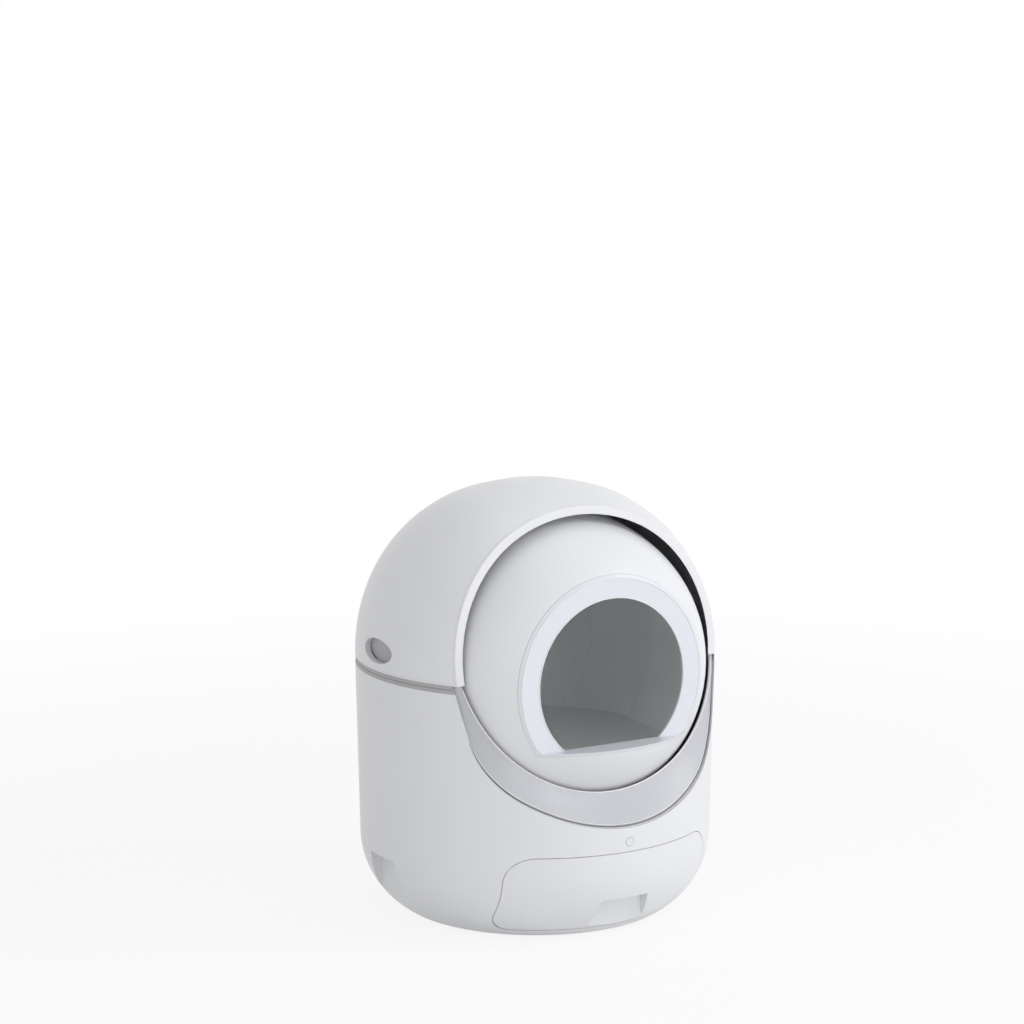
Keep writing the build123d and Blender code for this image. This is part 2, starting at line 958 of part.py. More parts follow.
def gear_cover():
    outer = bearing_outer_radius
    inner = gear_tip_radius + gear_tip_gap
    start = tongue_back_y + fit_gap
    shape = rod_y(outer, start, gear_cover_end_y, 0, drum_axis_z)
    shape += block(-outer, outer, start, gear_cover_end_y, shell_top, drum_axis_z)
    flange = outer + gear_cover_flange
    flange_top = shell_top + gear_cover_flange_height
    shape += block(-flange, flange, start, gear_cover_end_y, shell_top, flange_top)
    room = rod_y(inner, start - over, gear_cover_wall_y, 0, drum_axis_z)
    room += block(-inner, inner, start - over, gear_cover_wall_y, 0, drum_axis_z)
    shape -= room
    shape -= rod_y(shaft_radius + shaft_fit, start, gear_cover_end_y + over, 0, drum_axis_z)
    return shape & layer(shell_top, far)


def gearbox():
    half = gearbox_half_width
    end = gearbox_front_y + gearbox_length
    shape = block(-half, half, gearbox_front_y, end, gearbox_bottom_z, housing_top_z)
    return shape


def gear_motor():
    y = gearbox_front_y + gearbox_length / 2
    can = rod_z(motor_radius, gearbox_bottom_z - motor_length, gearbox_bottom_z, 0, y)
    can_end = gearbox_bottom_z - motor_length
    return can + rod_z(motor_radius / 3, can_end - motor_boss, can_end, 0, y)


def motor_mount():
    start = gearbox_front_y + gearbox_length
    end = housing_back_y - housing_wall - fit_gap
    half = gearbox_half_width + motor_mount_margin
    return block(-half, half, start, end, gearbox_bottom_z, housing_top_z)


# Rollers


def roller_frame(side):
    """The roller's axis, turned so that local -Z points away from the drum's axis."""
    reach = track_radius + roller_gap + roller_radius
    angle = radians(roller_angle)
    place = Pos(side * reach * sin(angle), 0, drum_axis_z - reach * cos(angle))
    return place * Rot(0, -side * roller_angle, 0)


def roller_span():
    start = seam_y + roller_inset
    return start, start + roller_width


def roller(side):
    start, end = roller_span()
    bore = rod_y(roller_pin_radius + shaft_fit, start - over, end + over)
    return roller_frame(side) * (rod_y(roller_radius, start, end) - bore)


def cradle_ends():
    start, end = roller_span()
    start -= roller_side_gap
    end += roller_side_gap
    return start - cradle_cheek, start, end, end + cradle_cheek


def roller_pin(side):
    first, _, _, last = cradle_ends()
    return roller_frame(side) * rod_y(roller_pin_radius, first, last)


def roller_cradle(side):
    first, second, third, last = cradle_ends()
    half = cradle_half_span
    shape = block(-half, half, first, second, -cradle_depth, roller_radius - roller_inset)
    shape += block(-half, half, third, last, -cradle_depth, roller_radius - roller_inset)
    shape += block(-half, half, first, last, -cradle_depth, cradle_cheek - cradle_depth)
    shape -= rod_y(roller_pin_radius + shaft_fit, first - over, last + over)
    return roller_frame(side) * shape


def roller_room(side):
    first, _, _, last = cradle_ends()
    half = cradle_half_span + fit_gap
    room = block(
        -half, half, first - fit_gap, last + fit_gap, -cradle_depth - fit_gap, cradle_depth
    )
    return roller_frame(side) * room


# Drum


def port_prism(grow=0.0):
    end = seam_y - port_gap_to_seam
    return block(
        port_x_start - grow,
        port_x_start + port_width + grow,
        end - port_length - grow,
        end + grow,
        drum_axis_z + screen_reach,
        far,
    )


def front_shell():
    shape = front_volume() - front_volume(drum_wall)
    sill_under = drum_axis_z - sill_drop - sill_plate - fit_gap
    shape -= block(-far, far, -far, bezel_y + bezel_plate + fit_gap, sill_under, far)
    shape -= port_prism(fit_gap)
    return shape


def entrance_bezel():
    back = bezel_y + bezel_plate
    sill_top = drum_axis_z - sill_drop
    sill_under = sill_top - sill_plate
    above = layer(sill_under, far)
    shape = front_volume() & slab(bezel_y, back) & above
    shape += front_volume(drum_wall + joint_ring_gap) & slab(bezel_y, back)
    mouth = rod_y(entrance_radius, bezel_y - over, back + over, 0, drum_axis_z)
    shape -= mouth & layer(sill_top, far)
    shape += front_volume() & slab(-far, back) & layer(sill_under, sill_top)
    return shape


def radial_rods(radius, outer, inner, y):
    """Rods pointing at the drum's axis, evenly round it."""
    group = []
    for index in range(drum_screw_count):
        angle = drum_screw_turn + index * 360 / drum_screw_count
        rod = rod_z(radius, inner, outer, 0, y)
        group.append(Pos(0, 0, drum_axis_z) * Rot(0, angle, 0) * rod)
    return group


def screw_y():
    return seam_y + drum_screw_setback


def rear_shell():
    shape = rear_volume() - rear_volume(drum_wall)
    lip = rod_y(track_radius, seam_y, seam_y + rear_lip_width, 0, drum_axis_z)
    lip -= rod_y(front_seam_radius(0.0) + fit_gap, 0, far, 0, drum_axis_z)
    shape += lip
    outer = track_radius + screw_hole_reach
    inner = track_radius - screw_hole_reach
    for rod in radial_rods(drum_screw_radius + fit_gap, outer, inner, screw_y()):
        shape -= rod
    return shape


def front_seam_radius(inset):
    """The front half's radius where it meets the rear half."""
    return front_radius(seam_y, inset)


def joint_ring():
    outer = track_radius - drum_wall - joint_ring_gap
    band_end = screw_y() + drum_screw_radius + screw_edge
    lip_end = seam_y + rear_lip_width + joint_ring_gap
    web_end = lip_end + joint_ring_web
    spigot_outer = drum_wall + joint_ring_gap
    spigot_inner = spigot_outer + joint_ring_wall
    shape = front_volume(spigot_outer) - front_volume(spigot_inner)
    shape &= slab(seam_y - joint_ring_spigot, seam_y)
    inner_radius = front_seam_radius(spigot_inner)
    neck = rod_y(front_seam_radius(0.0), seam_y, web_end, 0, drum_axis_z)
    web = rod_y(outer, lip_end, web_end, 0, drum_axis_z)
    shape += (neck + web) - rod_y(inner_radius, 0, far, 0, drum_axis_z)
    band = rod_y(outer, lip_end, band_end, 0, drum_axis_z)
    band -= rod_y(outer - joint_ring_wall, 0, far, 0, drum_axis_z)
    shape += band
    hole_end = track_radius - screw_hole_depth
    for rod in radial_rods(drum_screw_radius + shaft_fit, track_radius, hole_end, screw_y()):
        shape -= rod & slab(web_end, far)
    return shape


def drum_screws():
    outer = track_radius - drum_screw_sink
    return radial_rods(drum_screw_radius, outer, outer - drum_screw_length, screw_y())


def liner_volume(grow=0.0):
    """The space inside the drum's inner liner, made larger by its wall."""
    web_end = seam_y + rear_lip_width + joint_ring_gap + joint_ring_web
    front_inset = front_liner_inset + drum_liner_wall - grow
    rear_inset = rear_liner_inset + drum_liner_wall - grow
    neck_end = web_end + fit_gap + drum_liner_wall - grow
    neck_radius = front_seam_radius(front_inset)
    neck = rod_y(neck_radius, seam_y, neck_end + drum_liner_wall, 0, drum_axis_z)
    rear = rear_volume(rear_inset) & slab(neck_end, far)
    return front_volume(front_inset) + neck + rear


def inner_rib(grow=0.0):
    """The low ring inside the liner near its back."""
    half = inner_rib_width / 2 + grow
    ring = slab(inner_rib_y - half, inner_rib_y + half) & liner_volume()
    return ring - rear_volume(rear_liner_inset + drum_liner_wall + inner_rib_height + grow)


def drum_liner():
    shape = liner_volume(drum_liner_wall) - liner_volume() + inner_rib()
    shape &= slab(bezel_y + bezel_plate + fit_gap, far)
    shape -= port_prism(port_frame_wall)
    return shape


def litter_floor():
    top = drum_axis_z - litter_floor_drop
    inside = liner_volume(-fit_gap) & slab(bezel_y + bezel_plate + fit_gap, far)
    return (inside & layer(top - litter_floor_wall, top)) - inner_rib(fit_gap)


def litter_screen():
    x = port_x_start - port_frame_wall - screen_gap
    low = drum_axis_z + screen_reach
    front = seam_y - screen_length
    plate = block(x - screen_thickness, x, front, seam_y, low, far)
    plate &= liner_volume(-fit_gap)
    count = int((seam_y - front - 2 * screen_slot_width) / screen_slot_pitch)
    for index in range(count):
        y = front + 1.5 * screen_slot_width + index * screen_slot_pitch
        room = block(
            x - screen_thickness - over,
            x + over,
            y,
            y + screen_slot_width,
            low + screen_slot_foot,
            low + screen_slot_foot + screen_slot_length,
        )
        plate -= room
    return plate


def port_frame():
    wall = front_volume() - front_volume(port_frame_depth)
    return (wall & port_prism(0.0)) - port_prism(-port_frame_wall)


def drum_tenon():
    half = hub_slot_width / 2 - tenon_gap
    rise = tenon_height / 2
    back = hub_front_y + hub_slot_depth - tenon_end_gap
    return block(-half, half, drum_back_y, back, drum_axis_z - rise, drum_axis_z + rise)


# Cover


def cover_height_range(inset):
    return cover_curve_start, cover_top_rise - inset


def cover_radius_at(rise, inset=0.0):
    start, top = cover_height_range(inset)
    share = max(0.0, (rise - start) / (top - start))
    return (body_radius - inset) * (1 - share**2) ** (1 / cover_curve_power)


def cover_volume(inset=0.0, drop=0.0):
    """The cover's outside form, made smaller by an inset."""
    start, top = cover_height_range(inset)
    radius = body_radius - inset
    curve = []
    for degree in range(0, 91, 10):
        angle = radians(degree)
        across = radius * max(cos(angle), 0.0) ** (2 / cover_curve_power)
        curve.append((across, start + (top - start) * sin(angle)))
    curve[-1] = (0.0, top)
    outline = [
        Line((0, -drop), (radius, -drop)),
        Line((radius, -drop), (radius, start)),
        Spline(*curve, tangents=[(0, 1), (-1, 0)]),
        Line((0, top), (0, -drop)),
    ]
    return Pos(0, 0, cover_seat_z) * revolve(Plane.XZ * make_face(outline), Axis.Z)


def behind_cover_front(setback=0.0):
    front = cover_front_y + setback
    low = -far
    outline = Polyline(
        (front + low * cover_front_slope, low),
        (far, low),
        (far, far),
        (front + far * cover_front_slope, far),
        close=True,
    )
    return Pos(-far, 0, cover_seat_z) * extrude(Plane.YZ * make_face(outline), 2 * far)


def tab_hole_prism(grow=0.0):
    outline = Ellipse(tab_hole_half_length + grow, tab_hole_half_height + grow)
    prism = extrude(Plane.YZ * outline, far, both=True)
    return Pos(0, 0, cover_seat_z + tab_hole_rise) * prism


def cover_skin_solid(outer_inset, inner_inset):
    shape = cover_volume(outer_inset) - cover_volume(inner_inset, over)
    shape &= behind_cover_front(cover_rim)
    return shape & layer(cover_seat_z + cover_rim, far)


def cover_outer():
    return cover_skin_solid(0, cover_skin) - tab_hole_prism()


def cover_rib(angle):
    """A thin upright stiffener on the cover's inner wall, at an angle from the back."""
    wall_foot = cover_radius_at(0, cover_wall)
    wall_top = cover_radius_at(rib_height, cover_wall)
    outline = Polyline(
        (wall_foot - rib_depth, cover_rim),
        (wall_foot + rib_root, cover_rim),
        (wall_foot + rib_root, rib_height),
        (wall_top, rib_height),
        close=True,
    )
    plate = extrude(Plane.XZ * make_face(outline), rib_thickness / 2, both=True)
    plate = Pos(0, 0, cover_seat_z) * plate
    return Rot(0, 0, 90 - angle) * plate


def cover_inner():
    inner_face = cover_wall
    shape = cover_skin_solid(inner_face - cover_inner_skin, inner_face)
    room = cover_volume(inner_face - cover_inner_skin / 2)
    for angle in rib_angles:
        for side in {angle, -angle}:
            shape += cover_rib(side) & room
    return shape - tab_hole_prism()


def cover_front_rim():
    shape = cover_volume() - cover_volume(cover_wall, over)
    return (shape & behind_cover_front()) - behind_cover_front(cover_rim)


def cover_seat_ring():
    shape = cover_volume() - cover_volume(cover_wall, over)
    shape &= layer(cover_seat_z, cover_seat_z + cover_rim)
    return shape & behind_cover_front(cover_rim)


def tab_hole_sleeves():
    sleeve = tab_hole_prism(cover_inner_skin) - tab_hole_prism()
    inner_face = cover_wall - cover_inner_skin - fit_gap
    return (cover_volume(cover_skin + fit_gap) - cover_volume(inner_face)) & sleeve


# Release tabs


tab_outer_radius = body_radius - cover_wall - tab_gap
tab_inner_radius = tab_outer_radius - tab_thickness
tab_axis_x = (tab_outer_radius + tab_inner_radius) / 2
tab_centre_z = cover_seat_z + tab_hole_rise


def release_tab(side):
    wall = ring_z(tab_outer_radius, tab_inner_radius, tab_pivot_z, far)
    disc = Ellipse(tab_hole_half_length - tab_disc_gap, tab_hole_half_height - tab_disc_gap)
    disc = Pos(0, 0, tab_centre_z) * extrude(Plane.YZ * disc, far)
    half = tab_stem_width / 2
    stem = block(0, far, -half, half, tab_pivot_z, tab_centre_z)
    shape = wall & (disc + stem)
    shape += rod_y(tab_barrel_radius, -half, half, tab_axis_x, tab_pivot_z)
    reach = half + tab_slot_gap + tab_cheek - fit_gap
    shape += rod_y(tab_pin_radius, -reach, reach, tab_axis_x, tab_pivot_z)
    return shape if side > 0 else Rot(0, 0, 180) * shape


def tab_bracket(side):
    half = tab_stem_width / 2 + tab_slot_gap
    inner = tab_axis_x - tab_barrel_radius + tab_bracket_setback
    outer = tab_axis_x + tab_bracket_depth
    top = shell_top - deck_thickness
    low = tab_pivot_z - 2 * tab_barrel_radius
    shape = block(inner, outer, half, half + tab_cheek, low, top)
    shape += block(inner, outer, -half - tab_cheek, -half, low, top)
    shape += block(outer - tab_bridge_thickness, outer, -half, half, top - tab_bridge_height, top)
    shape -= rod_y(tab_pin_radius + shaft_fit, -far, far, tab_axis_x, tab_pivot_z)
    return shape if side > 0 else Rot(0, 0, 180) * shape


# Waste drawer


def drawer_front():
    panel = skin(0, drawer_skin, drawer_prism(drawer_seam))
    walls = (body_volume() & handle_pocket(pocket_wall)) & drawer_prism(drawer_seam)
    return (panel + walls) - handle_pocket()


def bin_volume(inset, wall):
    """The bin's outside form, which follows the drawer front and its finger pocket."""
    half = bin_half_width - wall
    shape = block(-half, half, -far, bin_back_y - wall, bin_floor_z + wall, bin_top + wall)
    shape &= body_volume(inset + wall, shell_top)
    return shape - handle_pocket(pocket_wall + fit_gap + wall)


def waste_bin():
    inset = drawer_skin + fit_gap
    shape = bin_volume(inset, 0) - bin_volume(inset, bin_wall)
    return shape & layer(bin_floor_z, bin_top)


def bin_gasket():
    inset = drawer_skin + fit_gap
    outer = bin_volume(inset, 0)
    half = bin_half_width
    ring = block(-half, half, -far, bin_back_y, bin_top, bin_top + gasket_height)
    ring &= body_volume(inset, shell_top)
    inner = half - gasket_width
    hole = block(-inner, inner, -far, bin_back_y - gasket_width, 0, far)
    hole &= body_volume(inset + gasket_width, shell_top)
    return ring - hole


nodes = {
    "base_shell": base_shell,
    "bottom_plate": bottom_plate,
    "bottom_screws": bottom_screws,
    "rubber_feet": rubber_feet,
    "load_cells": load_cells,
    "support_posts": support_posts,
    "ledge_screws": ledge_screws,
    "bowl_liner": bowl_liner,
    "collar_deck": collar_deck,
    "front_bezel": front_bezel,
    "waste_chute": waste_chute,
    "drawer_runners": drawer_runners,
    "board_bracket": board_bracket,
    "control_board": control_board,
    "board_parts": board_parts,
    "dc_inlet": dc_inlet,
    "button_housing": button_housing,
    "button_switch": button_switch,
    "power_button": power_button,
    "drive_housing": drive_housing,
    "gear_cover": gear_cover,
    "gearbox": gearbox,
    "gear_motor": gear_motor,
    "motor_mount": motor_mount,
    "drive_hub": drive_hub,
    "drive_shaft": drive_shaft,
    "hub_gear": hub_gear,
    "pinion": pinion,
    "motor_shaft": motor_shaft,
    "front_shell": front_shell,
    "entrance_bezel": entrance_bezel,
    "rear_shell": rear_shell,
    "joint_ring": joint_ring,
    "drum_screws": drum_screws,
    "drum_liner": drum_liner,
    "litter_floor": litter_floor,
    "litter_screen": litter_screen,
    "port_frame": port_frame,
    "drum_tenon": drum_tenon,
    "cover_outer": cover_outer,
    "cover_inner": cover_inner,
    "cover_front_rim": cover_front_rim,
    "cover_seat_ring": cover_seat_ring,
    "tab_hole_sleeves": tab_hole_sleeves,
    "drawer_front": drawer_front,
    "waste_bin": waste_bin,
    "bin_gasket": bin_gasket,
}
sided_nodes = {
    "roller": roller,
    "roller_pin": roller_pin,
    "roller_cradle": roller_cradle,
    "release_tab": release_tab,
    "tab_bracket": tab_bracket,
}


def solids_of(shape):
    """All separate solids of a piece, or of a group of pieces."""
    pieces = shape if isinstance(shape, list) else [shape]
    return [solid for piece in pieces for solid in piece.solids()]


def write(name, shape):
    found = solids_of(shape)
    export_step(Compound(children=found) if len(found) > 1 else found[0], "parts/" + name + ".step")
    print(name, len(found))


os.makedirs("parts", exist_ok=True)
for name, make in nodes.items():
    write(name, make())
for name, make in sided_nodes.items():
    write(name + "_right", make(1))
    write(name + "_left", make(-1))
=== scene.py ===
import json
from math import asin, cos, pi, radians, sin, sqrt, tan

import bmesh
import bpy
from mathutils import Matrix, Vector


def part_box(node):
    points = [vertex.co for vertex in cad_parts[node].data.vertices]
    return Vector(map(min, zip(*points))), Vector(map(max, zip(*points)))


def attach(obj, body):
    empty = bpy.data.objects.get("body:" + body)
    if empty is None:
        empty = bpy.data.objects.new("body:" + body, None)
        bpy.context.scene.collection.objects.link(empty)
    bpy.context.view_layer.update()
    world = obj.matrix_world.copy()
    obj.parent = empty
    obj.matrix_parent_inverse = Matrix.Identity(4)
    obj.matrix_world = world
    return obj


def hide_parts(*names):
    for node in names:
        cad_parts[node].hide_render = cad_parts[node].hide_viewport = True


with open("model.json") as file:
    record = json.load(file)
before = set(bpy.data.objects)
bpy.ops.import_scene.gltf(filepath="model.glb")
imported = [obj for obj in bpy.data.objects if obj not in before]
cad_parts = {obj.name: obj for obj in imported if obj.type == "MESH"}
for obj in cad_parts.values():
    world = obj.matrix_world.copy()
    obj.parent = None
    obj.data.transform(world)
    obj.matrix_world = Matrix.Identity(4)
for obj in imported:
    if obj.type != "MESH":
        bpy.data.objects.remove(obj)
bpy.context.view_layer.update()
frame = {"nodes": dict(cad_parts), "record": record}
nodes = frame["nodes"]

# Camera, found from the photograph's circles and ellipses
CAMERA_PLACE = (-1.9414, -3.2269, 1.1734)
CAMERA_PITCH = 9.09
CAMERA_HEADING = 30.53
CAMERA_LENS = 93.25
SENSOR = 36.0

# The drum's axis and the base's main heights, in metres
AXIS_Z = 0.362
SHELL_TOP = 0.356
BODY_RADIUS = 0.260


# Materials


class Field:
    """A number that varies over a surface: a socket with arithmetic."""

    def __init__(self, surface, socket):
        self.surface = surface
        self.socket = socket

    def with_math(self, operation, first, second):
        return self.surface.node("ShaderNodeMath", {"operation": operation}, {0: first, 1: second})

    def __add__(self, other):
        return self.with_math("ADD", self, other)

    def __radd__(self, other):
        return self.with_math("ADD", other, self)

    def __sub__(self, other):
        return self.with_math("SUBTRACT", self, other)

    def __rsub__(self, other):
        return self.with_math("SUBTRACT", other, self)

    def __mul__(self, other):
        return self.with_math("MULTIPLY", self, other)

    def __rmul__(self, other):
        return self.with_math("MULTIPLY", other, self)

    def __gt__(self, other):
        return self.with_math("GREATER_THAN", self, other)


class Surface:
    """A material in the making, with one way to add any node to it."""

    def __init__(self, name, metallic=0.0):
        self.material = bpy.data.materials.new(name)
        self.material.use_nodes = True
        self.tree = self.material.node_tree
        self.shader = self.tree.nodes["Principled BSDF"]
        self.shader.inputs["Metallic"].default_value = metallic
        self.place = self.node("ShaderNodeTexCoord", output="Object")

    def node(self, kind, settings=None, inputs=None, output=0):
        made = self.tree.nodes.new(kind)
        for key, value in (settings or {}).items():
            setattr(made, key, value)
        for key, value in (inputs or {}).items():
            if isinstance(value, Field):
                self.tree.links.new(value.socket, made.inputs[key])
            else:
                made.inputs[key].default_value = value
        return Field(self, made.outputs[output])

    def feed(self, socket, value):
        if isinstance(value, Field):
            self.tree.links.new(value.socket, self.shader.inputs[socket])
        else:
            self.shader.inputs[socket].default_value = value

    def noise(self, scale, detail=2.0, roughness=0.5, place=None):
        inputs = {
            "Vector": place or self.place,
            "Scale": scale,
            "Detail": detail,
            "Roughness": roughness,
        }
        return self.node("ShaderNodeTexNoise", None, inputs)

    def stretched(self, scale):
        return self.node("ShaderNodeMapping", None, {"Vector": self.place, "Scale": scale})

    def ramp(self, value, low, high):
        """From 0 at low to 1 at high, smoothly."""
        settings = {"interpolation_type": "SMOOTHSTEP"}
        inputs = {"Value": value, "From Min": low, "From Max": high}
        return self.node("ShaderNodeMapRange", settings, inputs)

    def mix(self, share, first, second):
        settings = {"data_type": "RGBA"}
        return self.node("ShaderNodeMix", settings, {0: share, 6: first, 7: second}, output=2)

    def relief(self, height, depth, edge=0.0006):
        """Bump on top of softened edges."""
        rounded = self.node("ShaderNodeBevel", {"samples": 6}, {"Radius": edge})
        inputs = {"Height": height, "Distance": depth, "Normal": rounded}
        self.feed("Normal", self.node("ShaderNodeBump", None, inputs))


def rgb(red, green, blue):
    """A colour written as it looks on screen, out of 255."""
    channels = []
    for level in (red, green, blue):
        share = level / 255
        channels.append(share / 12.92 if share <= 0.04045 else ((share + 0.055) / 1.055) ** 2.4)
    return (*channels, 1.0)


def shade(color, factor):
    return (color[0] * factor, color[1] * factor, color[2] * factor, 1.0)


DUST = rgb(168, 164, 156)
RUBBER_BLOOM = rgb(70, 69, 66)
MASK_GREEN = rgb(22, 84, 46)
TRACK_GREEN = rgb(44, 116, 66)


def moulded(name, color, roughness, grain_scale, grain_depth, edge=0.0006, dust=0.05):
    """Moulded plastic: fine grain, faint flow marks, handling scuffs and a little dust."""
    surface = Surface(name)
    flow = surface.noise(5.0, 4.0, 0.55)
    cloud = surface.noise(38.0, 3.0, 0.6)
    strokes = surface.noise(1.0, 5.0, 0.7, surface.stretched((260, 32, 90)))
    scuff = surface.ramp(strokes, 0.62, 0.78)
    settled = surface.ramp(surface.noise(16.0, 6.0, 0.65), 0.5, 0.75) * dust
    tone = surface.mix(flow, shade(color, 0.965), shade(color, 1.02))
    tone = surface.mix(settled, tone, DUST)
    tone = surface.mix(scuff * 0.12, tone, shade(color, 0.86))
    surface.feed("Base Color", tone)
    surface.feed("Roughness", roughness + (cloud - 0.5) * 0.09 + scuff * 0.1 + settled * 0.6)
    grain = surface.noise(grain_scale, 2.0, 0.6)
    surface.relief(grain + cloud * 0.25 - scuff * 0.4, grain_depth, edge)
    return surface.material


def turned_steel(name, color, roughness):
    surface = Surface(name, metallic=1.0)
    lines = surface.noise(1.0, 3.0, 0.7, surface.stretched((900, 60, 900)))
    blotch = surface.noise(60.0, 3.0, 0.6)
    surface.feed("Base Color", surface.mix(blotch, shade(color, 0.86), color))
    surface.feed("Roughness", roughness + (lines - 0.5) * 0.16 + blotch * 0.06)
    surface.relief(lines, 0.00002, 0.0003)
    return surface.material


def soft_rubber(name, color):
    surface = Surface(name)
    crumb = surface.noise(1400.0, 3.0, 0.6)
    bloom = surface.ramp(surface.noise(40.0, 5.0, 0.6), 0.45, 0.8)
    surface.feed("Base Color", surface.mix(bloom, color, RUBBER_BLOOM))
    surface.feed("Roughness", 0.72 + bloom * 0.15)
    surface.relief(crumb, 0.00008, 0.0006)
    return surface.material


def solder_mask(name):
    surface = Surface(name)
    tracks = surface.node(
        "ShaderNodeTexVoronoi",
        {"feature": "DISTANCE_TO_EDGE", "distance": "MANHATTAN"},
        {"Vector": surface.place, "Scale": 160.0},
    )
    line = 1.0 - surface.ramp(tracks, 0.02, 0.06)
    surface.feed("Base Color", surface.mix(line, MASK_GREEN, TRACK_GREEN))
    surface.feed("Roughness", 0.32 + line * 0.08)
    surface.relief(line, 0.00004, 0.0003)
    return surface.material


SATIN_WHITE = rgb(232, 233, 236)
BLUISH_WHITE = rgb(226, 229, 236)
LINER_GRAY = rgb(164, 165, 167)
BEZEL_GRAY = rgb(196, 197, 202)
finishes = {
    "white_shell": moulded("satin_white", SATIN_WHITE, 0.38, 1900, 0.000022, 0.0011, 0.0),
    "bright_white": moulded("smooth_white", BLUISH_WHITE, 0.3, 2400, 0.000012, 0.0009, 0.0),
    "gray_liner": moulded("gray_liner_plastic", LINER_GRAY, 0.55, 1300, 0.00005, 0.0008, 0.04),
    "gray_bezel": moulded("bezel_gray", BEZEL_GRAY, 0.42, 1700, 0.00003, 0.0008, 0.0),
    "gray_collar": moulded("collar_gray", rgb(176, 176, 178), 0.46, 1600, 0.00003, 0.0007, 0.0),
    "dark_plastic": moulded("dark_plastic", rgb(58, 60, 63), 0.5, 1500, 0.00004, 0.0006, 0.08),
    "nylon_gear": moulded("nylon", rgb(206, 202, 190), 0.4, 1500, 0.00003, 0.0003, 0.04),
    "steel": turned_steel("turned_steel", rgb(198, 200, 203), 0.28),
    "screw_steel": turned_steel("zinc_screws", rgb(132, 134, 138), 0.34),
    "rubber": soft_rubber("foot_rubber", rgb(40, 40, 42)),
    "circuit_board": solder_mask("solder_mask"),
    "black_parts": moulded("black_parts", rgb(30, 30, 32), 0.45, 1500, 0.00004, 0.0004, 0.05),
}
slot_of = {part["node"]: part["material_slot"] for part in frame["record"]["subparts"]}

# Pieces whose colour differs from the rest of their slot. The drum's liner pieces and the cover's
# inside get lighter greys than the liner slot: painted light, standing in for the light these
# interiors do not get
pale_liner = moulded("pale_liner", rgb(240, 241, 242), 0.5, 1300, 0.00004, 0.0008, 0.02)
cover_lining = moulded("cover_lining", rgb(214, 216, 220), 0.45, 1500, 0.00003, 0.0008, 0.0)
hub_gray = moulded("hub_gray", rgb(178, 179, 181), 0.45, 1500, 0.00003, 0.0005, 0.0)
roller_gray = moulded("roller_gray", rgb(158, 159, 161), 0.5, 1500, 0.00003, 0.0005, 0.02)
# Dark grey for the line along the bezel's outer edge: painted shadow standing in for the shade in
# a groove
groove_shadow_gray = moulded("groove_shadow_gray", rgb(120, 121, 123), 0.5, 1500, 0.00003, 0.0005, 0.0)
port_gray = moulded("port_gray", rgb(204, 205, 207), 0.5, 1300, 0.00004, 0.0006, 0.0)
# Dark grey with a rubber finish for the strip at the waste port's back edge: painted shadow in the
# gap there
port_shadow_dark = soft_rubber("port_gap_painted_shadow", rgb(64, 65, 68))
node_finishes = {
    "drum_liner": pale_liner,
    "litter_floor": pale_liner,
    "litter_screen": pale_liner,
    "cover_inner": cover_lining,
    "drive_hub": hub_gray,
    "drive_housing": hub_gray,
    "gear_cover": hub_gray,
    "roller_left": roller_gray,
    "roller_right": roller_gray,
    "roller_cradle_left": roller_gray,
    "roller_cradle_right": roller_gray,
    "port_frame": port_gray,
}


def finish(piece, material):
    piece.data.materials.clear()
    piece.data.materials.append(material)


for name, node in nodes.items():
    finish(node, node_finishes.get(name, finishes[slot_of[name]]))


# Pieces made here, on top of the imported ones
BEAD_SIDES = 10


def add_piece(name, sheet, body, slot, material=None):
    mesh = bpy.data.meshes.new(name)
    sheet.to_mesh(mesh)
    sheet.free()
    mesh.materials.append(material or finishes[slot])
    for face in mesh.polygons:
        face.use_smooth = True
    piece = bpy.data.objects.new(name, mesh)
    bpy.context.scene.collection.objects.link(piece)
    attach(piece, body)
    return piece


def bead(name, points, radius, body, slot, material=None):
    """A thin round bead along a line of points."""
    sheet = bmesh.new()
    rings = []
    for index, point in enumerate(points):
        before = points[max(index - 1, 0)]
        after = points[min(index + 1, len(points) - 1)]
        turn = (after - before).normalized().to_track_quat("Z", "Y").to_matrix().to_4x4()
        made = bmesh.ops.create_circle(sheet, segments=BEAD_SIDES, radius=radius)
        turn.translation = point
        bmesh.ops.transform(sheet, matrix=turn, verts=made["verts"])
        edges = {edge for vert in made["verts"] for edge in vert.link_edges}
        rings.append(list(edges))
    ends = rings[0] + rings[-1]
    for first, second in zip(rings, rings[1:]):
        bmesh.ops.bridge_loops(sheet, edges=first + second)
    bmesh.ops.holes_fill(sheet, edges=ends)
    bmesh.ops.recalc_face_normals(sheet, faces=sheet.faces)
    return add_piece(name, sheet, body, slot, material)


# The entry cut's outline and the bowl's lip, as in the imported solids
ENTRY_BOTTOM = 0.165
ENTRY_RADIUS = 0.270
ENTRY_BREAK = radians(32.0)
ENTRY_CORNER = 0.130
ENTRY_END = radians(79.0)
ENTRY_LEAN = tan(radians(11.0))
SHELL_LEAN = tan(radians(1.2))
SHELL_WALL = 0.0037
LIP_BOTTOM_Y = -0.208
LIP_BOTTOM_Z = 0.209
LIP_SLOPE = tan(radians(20.8))
LIP_RADIAL = 0.2335
LIP_AXIAL = 0.2205
LIP_CENTRE_Y = -0.044
COLLAR_TOP = 0.367
LIP_STEPS = 60
HALVINGS = 40


